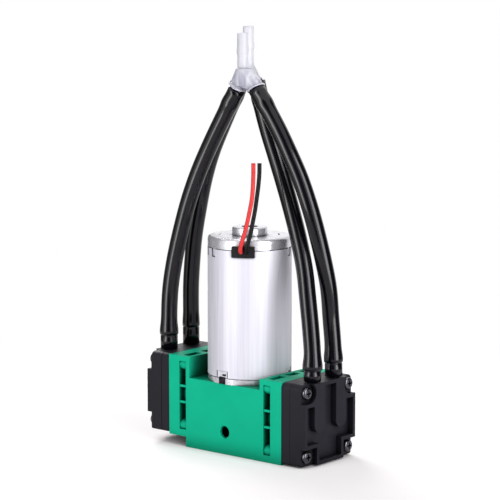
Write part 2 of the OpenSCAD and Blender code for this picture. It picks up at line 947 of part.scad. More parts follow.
module cover_gasket() {
  color(rubber_black)
    along_x(plate_x - gasket_t, gasket_t)
      difference() {
        sheet_outline(0);
        for (s = [-1, 1])
          translate([s > 0 ? 1 : -sheet_w / 2 + 1.8, axis_z - sheet_h / 2 + 1.8])
            square([sheet_w / 2 - 2.8, sheet_h - 3.6]);
      }
}

// The raised face: a full band between the screws, and the middle at full height
module face_outline() {
  difference() {
    head_outline();
    for (s = [-1, 1]) {
      translate([s > 0 ? base_d / 2 - lug_w : -base_d / 2 - cut, head_lift - cut])
        square([lug_w + cut, lug_low - head_lift + cut]);
      translate([s * screw_y, screw_high])
        circle(r = notch_r);
      translate([s > 0 ? screw_y : -base_d / 2 - cut, screw_high - notch_r])
        square([base_d / 2 - screw_y + cut, flange_h]);
    }
  }
}

module channel_outline() {
  for (y = [-barb_y, barb_y])
    translate([y, channel_end + channel_w / 2]) {
      circle(d = channel_w);
      translate([-channel_w / 2, 0])
        square([channel_w, flange_h]);
    }
}

module recess_outline() {
  inner_y = base_d / 2 - lug_w - rim_w;
  low = lug_low + rim_w;
  high = screw_high - notch_r - rim_w;
  difference() {
    union() {
      translate([-inner_y, head_lift + rim_w])
        square([2 * inner_y, flange_h - head_lift - 2 * rim_w]);
      translate([-base_d / 2 + rim_w, low])
        square([base_d - 2 * rim_w, high - low]);
    }
    channel_outline();
  }
}

module hose_barb() {
  tip = barb_r - 0.3;
  ridge = barb_r + 0.5;
  rotate_extrude()
    polygon([
      [0, -0.5], [barb_r, -0.5], [barb_r, barb_h * 0.45], [ridge, barb_h * 0.45],
      [barb_r, barb_h * 0.7], [ridge, barb_h * 0.7], [tip, barb_h], [0, barb_h]
    ]);
}

module head_cover() {
  bore_end = axis_z + 6;
  chamber_depth = 4.6;
  color(plastic_black)
    difference() {
      union() {
        along_x(plate_x, cover_t)
          head_outline();
        along_x(lug_x - overlap, face_h + overlap)
          face_outline();
        for (y = [-barb_y, barb_y])
          translate([barb_x, y, cover_top])
            hose_barb();
      }
      along_x(face_x - recess_depth, recess_depth + cut)
        recess_outline();
      for (s = [-1, 1])
        translate([plate_x - cut, s > 0 ? 1 : -sheet_w / 2 + 1.8, axis_z - sheet_h / 2 + 1.8])
          cube([chamber_depth + cut, sheet_w / 2 - 2.8, sheet_h - 3.6]);
      for (y = [-barb_y, barb_y]) {
        translate([barb_x, y, bore_end])
          cylinder(r = port_r, h = cover_top + barb_h);
        translate([plate_x + 1, y, bore_end])
          rotate([0, 90, 0])
            cylinder(r = port_r, h = barb_x - plate_x - 1);
      }
      screw_bores(plate_x, cover_t);
    }
}

module cover_screws() {
  color(dark_steel)
    translate([lug_x, 0, 0])
      screw_places()
        pan_screw(screw_r, screw_len, screw_head_r, screw_head_h);
}

// Y connectors
module y_arm(side) {
  rotate([0, side * arm_angle, 0])
    translate([0, 0, -arm_len - arm_tail]) {
      cylinder(d = stem_d, h = arm_len + arm_tail);
      translate([0, 0, arm_tail - collar_t / 2])
        cylinder(r = collar_r, h = collar_t);
    }
}

// A stem from its shoulder ring up to the ridge and the straight tip above it
module y_stem(height) {
  tip_r = stem_d / 2;
  ridge_z = height - stem_tip - ridge_len;
  rotate_extrude()
    polygon([
      [0, 0], [shoulder_r, 0], [shoulder_r, shoulder_h], [neck_r, shoulder_h + 0.6],
      [neck_r, ridge_z - ridge_back], [tip_r + stem_ridge, ridge_z],
      [tip_r, height - stem_tip], [tip_r, height], [0, height]
    ]);
}

module y_connector(fork, stem_x, stem_top) {
  shoulder = fork[2] + 1;
  web = 1.6;
  color(milky) {
    translate([stem_x, fork[1], shoulder])
      y_stem(stem_top - shoulder);
    translate(fork)
      for (side = [-1, 1])
        y_arm(side);
    hull() {
      translate([stem_x, fork[1], shoulder])
        cylinder(d = stem_d, h = 1, $fn = 32);
      for (side = [-1, 1])
        translate(fork)
          rotate([0, side * arm_angle, 0])
            translate([0, 0, -arm_len * 0.6])
              cylinder(d = stem_d - web, h = 1, $fn = 32);
    }
  }
}

base_frame();
motor_can();
motor_front_cap();
motor_rear_cap();
motor_magnets();
front_bearing();
rear_bearing();
brush_card();
brushes();
lead_grommet();
red_lead();
black_lead();
motor_screws();
motor_shaft();
armature_core();
armature_windings();
commutator();
eccentric_hub();
eccentric_set_screw();
head_side(-1) connecting_rod(-eccentricity);  // left_connecting_rod
head_side(1) connecting_rod(eccentricity);  // right_connecting_rod
head_side(-1) rod_bearing(-eccentricity);  // left_rod_bearing
head_side(1) rod_bearing(eccentricity);  // right_rod_bearing
head_side(-1) diaphragm_clamp(-eccentricity);  // left_diaphragm_clamp
head_side(1) diaphragm_clamp(eccentricity);  // right_diaphragm_clamp
head_side(-1) diaphragm_screw(-eccentricity);  // left_diaphragm_screw
head_side(1) diaphragm_screw(eccentricity);  // right_diaphragm_screw
head_side(-1) diaphragm(-eccentricity);  // left_diaphragm
head_side(1) diaphragm(eccentricity);  // right_diaphragm
head_side(-1) valve_plate();  // left_valve_plate
head_side(1) valve_plate();  // right_valve_plate
head_side(-1) valve_sheet();  // left_valve_sheet
head_side(1) valve_sheet();  // right_valve_sheet
head_side(-1) cover_gasket();  // left_cover_gasket
head_side(1) cover_gasket();  // right_cover_gasket
head_side(-1) head_cover();  // left_head_cover
head_side(1) head_cover();  // right_head_cover
head_side(-1) cover_screws();  // left_cover_screws
head_side(1) cover_screws();  // right_cover_screws
hose(left_front_route);  // left_front_hose
hose(left_rear_route);  // left_rear_hose
hose(right_front_route);  // right_front_hose
hose(right_rear_route);  // right_rear_hose
y_connector(front_fork, front_stem_x, front_stem_top);  // front_y_connector
y_connector(rear_fork, rear_stem_x, rear_stem_top);  // rear_y_connector
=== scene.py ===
"""Looks of the twin-head diaphragm air pump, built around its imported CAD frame.

The pump's sizes are in millimetres and turned into metres with MM, and the studio around it
is in metres. The photograph's camera was fitted to the object, so every piece sits where the
CAD says.
"""
import json
import math

import bmesh
import bpy
from mathutils import Matrix, Vector


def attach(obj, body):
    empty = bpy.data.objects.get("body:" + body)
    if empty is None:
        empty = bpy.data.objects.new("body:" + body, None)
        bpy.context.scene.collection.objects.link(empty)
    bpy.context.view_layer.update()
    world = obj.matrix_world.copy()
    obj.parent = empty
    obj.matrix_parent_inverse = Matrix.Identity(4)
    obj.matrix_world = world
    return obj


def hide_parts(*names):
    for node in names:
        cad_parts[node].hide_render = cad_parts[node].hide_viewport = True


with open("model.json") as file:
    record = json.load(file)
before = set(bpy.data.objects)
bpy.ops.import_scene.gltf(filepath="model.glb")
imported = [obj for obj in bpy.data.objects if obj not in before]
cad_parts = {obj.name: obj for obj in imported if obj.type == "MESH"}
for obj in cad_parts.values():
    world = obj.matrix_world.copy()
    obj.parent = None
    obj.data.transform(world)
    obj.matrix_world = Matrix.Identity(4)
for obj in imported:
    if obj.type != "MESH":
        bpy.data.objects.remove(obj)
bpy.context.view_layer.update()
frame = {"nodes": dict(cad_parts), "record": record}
MM = 0.001


# The camera

# Angles in degrees, and the focal length in pixels of the square picture
CAMERA_AZIMUTH = 39.711
CAMERA_ELEVATION = 8.085
CAMERA_DISTANCE = 1046.1
CAMERA_TARGET = (0.11, 0.09, 100.36)
FOCAL_PIXELS = 2101.4
PICTURE_PIXELS = 500
SENSOR_WIDTH = 36.0


def add_camera():
    """The photograph's own viewpoint, as a camera that looks at the pump's middle."""
    azimuth = math.radians(CAMERA_AZIMUTH)
    elevation = math.radians(CAMERA_ELEVATION)
    back = Vector((
        math.sin(azimuth) * math.cos(elevation),
        -math.cos(azimuth) * math.cos(elevation),
        math.sin(elevation),
    ))
    data = bpy.data.cameras.new("camera")
    data.sensor_width = SENSOR_WIDTH
    data.lens = FOCAL_PIXELS * SENSOR_WIDTH / PICTURE_PIXELS
    camera = bpy.data.objects.new("camera", data)
    camera.location = (Vector(CAMERA_TARGET) + back * CAMERA_DISTANCE) * MM
    camera.rotation_euler = back.to_track_quat("Z", "Y").to_euler()
    bpy.context.scene.collection.objects.link(camera)
    bpy.context.scene.camera = camera


add_camera()


# Node helpers for the materials

AO_SAMPLES = 8
# The part of a noise's range that most of its values lie in
NOISE_SPAN = (0.3, 0.7)
# A mix node's sockets by number: its factor, then the two colours, and the mixed colour
MIX_FACTOR = 0
MIX_COLOURS = (6, 7)
MIX_RESULT = 2


def srgb(red, green, blue):
    """A linear colour from the 0 to 255 values that a picture shows."""
    def linear(value):
        value /= 255
        return value / 12.92 if value <= 0.04045 else ((value + 0.055) / 1.055) ** 2.4
    return (linear(red), linear(green), linear(blue), 1.0)


def shade(colour, factor, lift=0.0):
    """A colour made darker or lighter by a factor, and lifted by the same for each part."""
    return tuple(value * factor + lift for value in colour[:3]) + (1.0,)


def map_range(tree, source, low, high, from_low, from_high, interpolation="LINEAR"):
    """A value carried over from one range to another, and held at its ends."""
    made = tree.nodes.new("ShaderNodeMapRange")
    made.interpolation_type = interpolation
    for name, value in (("From Min", from_low), ("From Max", from_high),
                        ("To Min", low), ("To Max", high)):
        made.inputs[name].default_value = value
    tree.links.new(source, made.inputs["Value"])
    return made.outputs["Result"]


def mix_shader(tree, factor, first, second):
    """One shader where the factor is nought and another where it is one."""
    made = tree.nodes.new("ShaderNodeMixShader")
    for output, socket in zip((factor, first, second), made.inputs):
        tree.links.new(output, socket)
    return made.outputs[0]


class Shader:
    """One material and the few nodes that most of them use."""

    def __init__(self, name):
        self.material = bpy.data.materials.new(name)
        self.material.use_nodes = True
        self.tree = self.material.node_tree
        self.bsdf = self.tree.nodes["Principled BSDF"]
        self.coords = self.tree.nodes.new("ShaderNodeTexCoord").outputs["Object"]

    def node(self, kind, **inputs):
        """A new node, with values for its sockets by name."""
        made = self.tree.nodes.new(kind)
        for name, value in inputs.items():
            made.inputs[name.replace("_", " ")].default_value = value
        return made

    def link(self, output, target):
        """A link from one node's output to another's input."""
        self.tree.links.new(output, target)

    def set(self, **inputs):
        """Values that are the same all over the surface."""
        for name, value in inputs.items():
            self.bsdf.inputs[name.replace("_", " ")].default_value = value

    def stretched(self, scale):
        """Object coordinates scaled by a vector, for grain that runs one way."""
        mapping = self.node("ShaderNodeMapping", Scale=scale)
        self.link(self.coords, mapping.inputs["Vector"])
        return mapping.outputs["Vector"]

    def noise(self, scale, detail=3, coords=None):
        """Noise with about scale spots to the metre."""
        made = self.node("ShaderNodeTexNoise", Scale=scale, Detail=detail)
        self.link(coords or self.coords, made.inputs["Vector"])
        return made.outputs["Fac"]

    def mix(self, factor, first, second):
        """A colour between two, by factor."""
        made = self.node("ShaderNodeMix")
        made.data_type = "RGBA"
        self.link(factor, made.inputs[MIX_FACTOR])
        for index, value in zip(MIX_COLOURS, (first, second)):
            if isinstance(value, tuple):
                made.inputs[index].default_value = value
            else:
                self.link(value, made.inputs[index])
        return made.outputs[MIX_RESULT]

    def mottle(self, source, first, second, low, high, most=1.0):
        """A colour that leaves the first for the second as a noise goes from low to high."""
        return self.mix(map_range(self.tree, source, 0.0, most, low, high), first, second)

    def height(self, low, high):
        """Nought below one height in millimetres and one above another."""
        made = self.node("ShaderNodeSeparateXYZ")
        self.link(self.coords, made.inputs[0])
        return map_range(self.tree, made.outputs["Z"], 0.0, 1.0, low * MM, high * MM)

    def painted_shade_in_corners(self, colour, dark, distance, low, high):
        """Painted shade in corners: a colour that darkens where only a small share of the
        space within a distance is open.
        """
        near = self.node("ShaderNodeAmbientOcclusion", Distance=distance * MM)
        near.samples = AO_SAMPLES
        painted_shade_mask = map_range(self.tree, near.outputs["AO"], 0.0, 1.0, low, high)
        return self.mix(painted_shade_mask, dark, colour)

    def colour(self, output):
        """The surface's colour, from a node."""
        self.link(output, self.bsdf.inputs["Base Color"])

    def roughness(self, source, low, high):
        """Gloss that goes from one roughness to another with a noise."""
        made = map_range(self.tree, source, low, high, *NOISE_SPAN)
        self.link(made, self.bsdf.inputs["Roughness"])

    def bump(self, source, strength, depth=0.2):
        """A relief from a noise, with its depth in millimetres."""
        made = self.node("ShaderNodeBump", Strength=strength, Distance=depth * MM)
        self.link(source, made.inputs["Height"])
        self.link(made.outputs["Normal"], self.bsdf.inputs["Normal"])


# The materials

def moulded_plastic(name, colour, mottled, painted_shade_colour, painted_shade_reach, roughness, grain, specular):
    """Moulded plastic: a fine spark-eroded grain, a faint flow mottle, uneven gloss and
    painted shade in its corners and pockets.
    """
    s = Shader(name)
    flow = s.mottle(s.noise(60, 4), colour, mottled, 0.3, 0.7)
    # Painted shade: the colour goes darker toward the given colour in corners, slits and deep
    # pockets
    s.colour(s.painted_shade_in_corners(flow, painted_shade_colour, painted_shade_reach, 0.25, 0.85))
    s.roughness(s.noise(240), roughness - 0.05, roughness + 0.07)
    s.bump(s.noise(2600, 2), grain)
    s.set(Specular_IOR_Level=specular)
    return s.material


def worn_metal(name, colour, roughness, spread=0.08, metallic=1.0, painted_shade_reach=1.0):
    """Bare or plated metal: slightly clouded, with a fine grain in its relief and gloss, and
    painted shade in its seams and corners.
    """
    s = Shader(name)
    grain = s.noise(300, 4)
    clouded = s.mottle(s.noise(45, 4), colour, shade(colour, 0.82), 0.35, 0.7)
    # Painted shade: near black in seams and narrow corners
    s.colour(s.painted_shade_in_corners(clouded, shade(colour, 0.1), painted_shade_reach, 0.45, 0.85))
    s.roughness(grain, roughness - spread, roughness + spread)
    s.bump(grain, 0.12, 0.05)
    s.set(Metallic=metallic)
    return s.material


def soft_rubber(name, colour, roughness):
    """Rubber with a dusty bloom over a fine grain."""
    s = Shader(name)
    s.colour(s.mottle(s.noise(90, 5), colour, shade(colour, 1.6, 0.002), 0.45, 0.75))
    s.roughness(s.noise(400), roughness - 0.06, roughness + 0.06)
    s.bump(s.noise(1500, 2), 0.25, 0.1)
    s.set(Specular_IOR_Level=0.3)
    return s.material


def hose_rubber():
    """Extruded hose: glossy black, slightly uneven in tone and gloss."""
    s = Shader("hose_rubber")
    s.colour(s.mottle(s.noise(70, 4), srgb(6, 5, 12), srgb(11, 10, 18), 0.4, 0.75))
    s.roughness(s.noise(90), 0.12, 0.17)
    s.bump(s.noise(2200, 2), 0.02, 0.05)
    return s.material


# The height at which the connectors' streaky fans, whose lilac-grey is partly painted shade,
# have turned into their even stems
FAN_TOP = 192
FAN_FADE = 4


def milky_plastic():
    """Unfilled moulded plastic, half clear: lilac flow streaks below an even, whiter stem,
    with the lilac partly painted shade of the hollow fan, and painted shade in corners.
    """
    s = Shader("milky_plastic")
    streaks = s.noise(420, coords=s.stretched((1, 1, 0.22)))
    # Flow streaks between white and lilac-grey; the lilac-grey also paints the shade of the
    # hollow fan
    fan = s.mottle(streaks, srgb(244, 244, 250), srgb(190, 189, 210), 0.35, 0.65)
    stem = s.mottle(s.noise(120), srgb(230, 230, 236), srgb(222, 222, 230), 0.3, 0.7)
    toned = s.mix(s.height(FAN_TOP - FAN_FADE, FAN_TOP), fan, stem)
    # Painted shade: dark lilac in corners and where the arms meet the fan
    s.colour(s.painted_shade_in_corners(toned, srgb(96, 95, 120), 1.2, 0.4, 0.85))
    s.roughness(s.noise(200), 0.14, 0.22)
    s.bump(s.noise(250, 2), 0.02, 0.1)
    s.set(IOR=1.4, Transmission_Weight=0.3)
    return s.material


def insulation(name, colour, specular):
    """Lead insulation: satin, with a slight unevenness from its extrusion."""
    s = Shader(name)
    s.colour(s.mottle(s.noise(300, 2), colour, shade(colour, 0.85), 0.35, 0.65))
    s.roughness(s.noise(500, 2), 0.32, 0.42)
    s.bump(s.noise(900, 2), 0.06, 0.1)
    s.set(Specular_IOR_Level=specular)
    return s.material


def can_steel():
    """Plated and rolled steel: satin, with soft upright streaks, faint clouds and painted
    shade in its seams.
    """
    s = Shader("can_steel")
    fine = s.noise(700, 4, s.stretched((1, 1, 0.03)))
    streaks = s.mottle(fine, srgb(234, 233, 242), srgb(218, 217, 229), 0.3, 0.7)
    clouded = s.mottle(s.noise(38, 5), streaks, srgb(227, 226, 238), 0.35, 0.7, most=0.5)
    # Painted shade: near black in seams and narrow gaps
    s.colour(s.painted_shade_in_corners(clouded, srgb(24, 24, 30), 1.5, 0.5, 0.92))
    grain = s.noise(420, coords=s.stretched((1, 1, 0.04)))
    s.roughness(grain, 0.40, 0.52)
    s.bump(grain, 0.05, 0.04)
    s.set(Metallic=0.2)
    return s.material


# In the plastics, the third colour is the painted shade in corners and pockets
MATERIALS = {
    "green_plastic": moulded_plastic(
        "green_plastic", srgb(18, 196, 154), srgb(16, 189, 148), srgb(4, 70, 50),
        painted_shade_reach=13.0, roughness=0.42, grain=0.12, specular=0.06),
    "black_plastic": moulded_plastic(
        "black_plastic", srgb(37, 36, 43), srgb(32, 31, 38), srgb(6, 6, 8),
        painted_shade_reach=5.0, roughness=0.42, grain=0.2, specular=0.15),
    "can_steel": can_steel(),
    "cap_steel": worn_metal("cap_steel", srgb(226, 225, 232), roughness=0.26, spread=0.05,
                            metallic=0.66, painted_shade_reach=2.5),
    "bright_steel": worn_metal("bright_steel", srgb(214, 213, 221), roughness=0.22,
                               spread=0.05, metallic=0.6),
    "dark_steel": worn_metal("dark_steel", srgb(110, 110, 118), roughness=0.22, spread=0.05),
    "magnet": worn_metal("magnet", srgb(72, 72, 76), roughness=0.6),
    "copper": worn_metal("copper", srgb(196, 120, 62), roughness=0.32),
    "rod_aluminium": worn_metal("rod_aluminium", srgb(205, 206, 210), roughness=0.4),
    "rubber": soft_rubber("rubber", srgb(13, 13, 15), roughness=0.62),
    "hose_rubber": hose_rubber(),
    "red_insulation": insulation("red_insulation", srgb(222, 52, 52), specular=0.4),
    "black_insulation": insulation("black_insulation", srgb(15, 15, 17), specular=0.2),
    "milky_plastic": milky_plastic(),
}


# Meshes, curves and tubes

def add_object(name, mesh, material):
    """An object in the scene, made from a bmesh, with one material."""
    data = bpy.data.meshes.new(name)
    mesh.to_mesh(data)
    mesh.free()
    data.materials.append(material)
    made = bpy.data.objects.new(name, data)
    bpy.context.scene.collection.objects.link(made)
    return made


def add_piece(name, mesh, slot):
    """A smooth piece with its slot's material, which stays with the pump's body."""
    bmesh.ops.recalc_face_normals(mesh, faces=mesh.faces)
    piece = add_object(name, mesh, MATERIALS[slot])
    for face in piece.data.polygons:
        face.use_smooth = True
    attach(piece, "pump")
    return piece


def smooth_route(points, step):
    """Points about step apart on the smooth curve through a route's points."""
    knots = [Vector(p) for p in points]
    knots = [2 * knots[0] - knots[1]] + knots + [2 * knots[-1] - knots[-2]]
    out = []
    for a, b, c, d in zip(knots, knots[1:], knots[2:], knots[3:]):
        count = max(1, round((c - b).length / step))
        for i in range(count):
            t = i / count
            out.append(0.5 * (
                2 * b + (c - a) * t + (2 * a - 5 * b + 4 * c - d) * t ** 2
                + (3 * b - a - 3 * c + d) * t ** 3))
    return out + [knots[-2]]


def distances(points):
    """The distance along a line of points, at each one."""
    out = [0.0]
    for a, b in zip(points, points[1:]):
        out.append(out[-1] + (b - a).length)
    return out


def ring_frames(points):
    """Two directions across the line at each point, turned along it without twist."""
    frames = []
    side = None
    for i, point in enumerate(points):
        ahead = points[min(i + 1, len(points) - 1)]
        behind = points[max(i - 1, 0)]
        along = (ahead - behind).normalized()
        if side is None:
            side = along.cross(Vector((0, 1, 0))).normalized()
        side = (side - along * side.dot(along)).normalized()
        frames.append((side, along.cross(side)))
    return frames


def circle(centre, side, other, radius, count):
    """Points evenly around a circle that lies in two directions."""
    turns = [2 * math.pi * k / count for k in range(count)]
    return [centre + radius * (math.cos(turn) * side + math.sin(turn) * other)
            for turn in turns]


def tube_mesh(points, radii, sides, bore=0.0, bore_depth=0.0):
    """A tube along a line, with its own radius at each point and, if asked, open ends."""
    mesh = bmesh.new()
    frames = ring_frames(points)

    def ring(centre, directions, radius):
        return [mesh.verts.new(point) for point in circle(centre, *directions, radius, sides)]

    def join(first, second):
        for k in range(sides):
            mesh.faces.new((first[k], first[(k + 1) % sides],
                            second[(k + 1) % sides], second[k]))

    rings = [ring(p, f, r) for p, f, r in zip(points, frames, radii)]
    for first, second in zip(rings, rings[1:]):
        join(first, second)
    for index, inwards in ((0, 1), (-1, -2)):
        end = rings[index]
        if bore:
            along = (points[inwards] - points[index]).normalized()
            lip = ring(points[index], frames[index], bore)
            floor = ring(points[index] + along * bore_depth, frames[index], bore)
            join(end, lip)
            join(lip, floor)
            mesh.faces.new(floor)
        else:
            mesh.faces.new(end)
    return mesh


def turned_mesh(start, along, profile, sides):
    """A turned form, its profile a list of a place along its axis and the radius there."""
    line = [(start + along * place) * MM for place, radius in profile]
    return tube_mesh(line, [radius * MM for place, radius in profile], sides)


def merged(parts):
    """One bmesh from several."""
    whole = bmesh.new()
    for part in parts:
        data = bpy.data.meshes.new("part")
        part.to_mesh(data)
        part.free()
        whole.from_mesh(data)
        bpy.data.meshes.remove(data)
    return whole


# The Y connectors, each in a plane of one y

# A stem's x and top, a shoulder's x, height and radius, and for each arm the x and height of
# its collar's lower face and the length of bare arm between the fan and the collar
CONNECTORS = {
    "front_y_connector": {
        "y": -5, "stem": (-0.3, 208.2), "shoulder": (1.1, 190.8, 4.5),
        "arms": ((-3.9, 181.7, 1.3), (8.3, 181.2, 0.0)),
    },
    "rear_y_connector": {
        "y": 5, "stem": (-5.0, 211.2), "shoulder": (-5.6, 192.6, 3.1),
        "arms": ((-9.8, 183.4, 1.3), (-1.4, 183.2, 0.0)),
    },
}
SHOULDER_LEN = 0.8
ARM_ANGLE = 32
FAN_ARM_R = 4.0
COLLAR_LEN = 0.9
# A place along an arm, from its collar's lower face, and the radius: arm, collar and barb
ARM_PROFILE = (
    (-3.0, 3.1), (-0.95, 3.3), (-0.75, 4.65), (-0.15, 4.75), (0.1, 4.5), (0.15, 2.6),
    (4.5, 2.6), (9.0, 2.3),
)
# A height above the shoulder and the radius, then a height from the top and the radius
STEM_FOOT = ((-1.5, 2.75), (6.5, 2.65), (7.6, 3.0), (8.6, 3.0), (11.6, 2.75))
STEM_TIP = ((-0.3, 2.75), (0.0, 2.5))
CONNECTOR_SIDES = 40
UNION_VOXEL = 0.2
UNION_SMOOTHING = 2


def arm_lines(plan):
    """For each arm its collar's place, the directions along and across it, and its gap."""
    angle = math.radians(ARM_ANGLE)
    lines = []
    for side, (end_x, end_z, gap) in zip((-1, 1), plan["arms"]):
        end = Vector((end_x, plan["y"], end_z))
        along = Vector((side * math.sin(angle), 0, -math.cos(angle)))
        across = Vector((math.cos(angle), 0, side * math.sin(angle)))
        lines.append((end, along, across, gap))
    return lines


def fan_mesh(plan):
    """The fan: a hull over the round shoulder and the round starts of the two arms."""
    shoulder_x, shoulder_z, shoulder_r = plan["shoulder"]
    left_right = Vector((1, 0, 0))
    front_back = Vector((0, 1, 0))
    points = []
    for height in (shoulder_z, shoulder_z - SHOULDER_LEN):
        centre = Vector((shoulder_x, plan["y"], height))
        points += circle(centre, left_right, front_back, shoulder_r, CONNECTOR_SIDES)
    for end, along, across, gap in arm_lines(plan):
        centre = end - along * (COLLAR_LEN + gap)
        points += circle(centre, across, front_back, FAN_ARM_R, CONNECTOR_SIDES)
    mesh = bmesh.new()
    for point in points:
        mesh.verts.new(point * MM)
    bmesh.ops.convex_hull(mesh, input=mesh.verts[:])
    return mesh


def stem_mesh(plan):
    """The stem: a straight tube with a low ring on it and a chamfered tip."""
    stem_x, stem_top = plan["stem"]
    shoulder_z = plan["shoulder"][1]
    profile = [(shoulder_z + height, radius) for height, radius in STEM_FOOT]
    profile += [(stem_top + height, radius) for height, radius in STEM_TIP]
    return turned_mesh(Vector((stem_x, plan["y"], 0)), Vector((0, 0, 1)), profile,
                       CONNECTOR_SIDES)


def add_connector(name):
    """A moulded Y: a fan with two collared arms and barbs below it, and a stem above."""
    plan = CONNECTORS[name]
    parts = [turned_mesh(end, along, ARM_PROFILE, CONNECTOR_SIDES)
             for end, along, across, gap in arm_lines(plan)]
    parts += [fan_mesh(plan), stem_mesh(plan)]
    piece = add_piece(name + "_moulding", merged(parts), "milky_plastic")
    union = piece.modifiers.new("union", "REMESH")
    union.mode = "VOXEL"
    union.voxel_size = UNION_VOXEL * MM
    union.use_smooth_shade = True
    smooth = piece.modifiers.new("smooth", "SMOOTH")
    smooth.iterations = UNION_SMOOTHING
    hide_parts(name)
    return piece


MOULDINGS = {connector: add_connector(connector) for connector in CONNECTORS}


# The hoses

HOSE_D = 8.4
HOSE_BORE = 5.0
HOSE_BORE_DEPTH = 3.0
HOSE_STEP = 4.0
HOSE_SIDES = 32
# The length and radius of the port's neck, and the widest radius of the hose's end on it
HOSE_ENDS = {
    "left_front_hose": (7.3, 4.4, 4.8), "left_rear_hose": (9.3, 4.3, 4.5),
    "right_front_hose": (5.6, 4.25, 4.95), "right_rear_hose": (6.9, 4.4, 4.8),
}
GROOVE_DEPTH = 0.2
GROOVE_LEN = 0.7
GROOVE_EDGE = 0.1
PORT_FLARE_PLACE = 1.5
PORT_FLARE_LEN = 4.0
BARB_SWELL_PLACE = 8.5
BARB_SWELL_LEN = 3.0
BARB_SWELL_HEIGHT = 0.35
# The lengths at both ends over which a hose's stations are closer together
FINE_PORT_END = 16.0
FINE_CONNECTOR_END = 20.0
# The CAD model's own points, from each port up to a connector's arm
ROUTES = {
    "left_front_hose": [
        (-46.5, -8.5, 46.5), (-46.5, -8.5, 62), (-46, -8, 77), (-43.5, -7.5, 92),
        (-39.5, -7, 107.5), (-35, -6, 123), (-29.5, -5.5, 136.5), (-23.5, -5, 148.5),
        (-17, -5, 159.5), (-10.5, -5, 170), (-4, -5, 180.5)],
    "left_rear_hose": [
        (-46.5, 8.5, 46.5), (-46.5, 8.5, 62), (-46, 8, 77), (-44.5, 7.5, 91),
        (-42.5, 7, 104), (-39, 6.5, 118.5), (-34.5, 5.5, 133), (-29, 5, 147),
        (-22.5, 5, 160), (-16, 5, 172), (-9.5, 5, 183.5)],
    "right_rear_hose": [
        (46.5, 8.5, 41.5), (46, 8.5, 56), (45, 8, 70), (45, 6, 85), (44, 3, 99),
        (42, 0, 113.5), (39.5, -2.5, 126), (35, -4, 139), (29, -5, 151),
        (22.5, -5, 161.5), (15.5, -5, 171.5), (8.5, -5, 181)],
    "right_front_hose": [
        (46.5, -8.5, 41.5), (46.5, -8.5, 54), (45, -8, 66.5), (42, -6.5, 80.5),
        (37.5, -3.5, 95), (31.5, -0.5, 108.5), (25, 2, 122), (18.5, 4, 135),
        (12.5, 5, 148), (7.5, 5, 160.5), (3.5, 5, 172.5), (0.5, 5, 184)],
}


def swell(along, centre, width, height):
    """A smooth rise of the hose's radius where something inside it is wider."""
    return height * math.exp(-((along - centre) / width) ** 2)


def hose_radius(along, length, end):
    """The radius along a hose: the port's neck, a groove, then the hose over both barbs."""
    neck, neck_r, end_r = end
    if along < neck - GROOVE_LEN:
        return neck_r
    if along < neck:
        return neck_r - GROOVE_DEPTH
    port = swell(along, neck + PORT_FLARE_PLACE, PORT_FLARE_LEN, end_r - HOSE_D / 2)
    barb = swell(length - along, BARB_SWELL_PLACE, BARB_SWELL_LEN, BARB_SWELL_HEIGHT)
    return HOSE_D / 2 + port + barb


def hose_stations(route, neck):
    """Points along a hose: a close pair at each edge of the groove, and finer at both ends."""
    fine = smooth_route(route, HOSE_STEP / 4)
    along = distances(fine)
    length = along[-1]
    wanted = [0.0]
    for edge in (neck - GROOVE_LEN, neck):
        wanted += [edge - GROOVE_EDGE / 2, edge + GROOVE_EDGE / 2]
    here = neck + HOSE_STEP / 4
    while here < length - HOSE_STEP / 2:
        wanted.append(here)
        near_end = here < neck + FINE_PORT_END or here > length - FINE_CONNECTOR_END
        here += HOSE_STEP / 4 if near_end else HOSE_STEP
    wanted.append(length)
    stations = []
    for place in wanted:
        i = max(k for k, distance in enumerate(along) if distance <= place)
        j = min(i + 1, len(fine) - 1)
        gap = along[j] - along[i]
        share = (place - along[i]) / gap if gap else 0.0
        stations.append(fine[i].lerp(fine[j], share))
    return stations


def add_hose(name):
    """A hose and the neck of the port under it, as a piece."""
    end = HOSE_ENDS[name]
    route = hose_stations(ROUTES[name], end[0])
    along = distances(route)
    radii = [hose_radius(s, along[-1], end) * MM for s in along]
    points = [p * MM for p in route]
    mesh = tube_mesh(points, radii, HOSE_SIDES, HOSE_BORE / 2 * MM, HOSE_BORE_DEPTH * MM)
    hose = add_piece(name + "_tube", mesh, "hose_rubber")
    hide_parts(name)


for hose_name in ROUTES:
    add_hose(hose_name)


# The motor leads

LEAD_D = 2.1
LEAD_STEP = 1.2
LEAD_SIDES = 20
# Each lead's material and the CAD model's own points, from the grommet to the free end
LEADS = {
    "red_lead": ("red_insulation", [
        (9.8, -18.4, 101.8), (10.7, -20.2, 103.2), (11.6, -20.6, 106), (12.8, -19.8, 111),
        (14, -18.8, 117), (15, -18, 123), (15.8, -17.3, 129), (16, -16.8, 135),
        (16, -16.5, 141), (16, -16.5, 146)]),
    "black_lead": ("black_insulation", [
        (12, -17, 101.8), (13.2, -18.6, 103.2), (14.2, -18.8, 106), (15.2, -17.9, 111),
        (16, -17, 117), (16.8, -16.2, 123), (17.4, -15.6, 129), (17.9, -15, 135),
        (18.2, -14.6, 141), (18.2, -14.5, 146)]),
}


def add_lead(name):
    """A motor lead, as a piece."""
    slot, route = LEADS[name]
    points = [p * MM for p in smooth_route(route, LEAD_STEP)]
    radii = [LEAD_D / 2 * MM] * len(points)
    lead = add_piece(name + "_wire", tube_mesh(points, radii, LEAD_SIDES), slot)
    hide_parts(name)


for lead_name in LEADS:
    add_lead(lead_name)


# The CAD pieces: their own materials, with softened edges

SLOTS = {part["node"]: part["material_slot"] for part in frame["record"]["subparts"]}
FINISHES = {"motor_rear_cap": "cap_steel", "motor_front_cap": "cap_steel"}
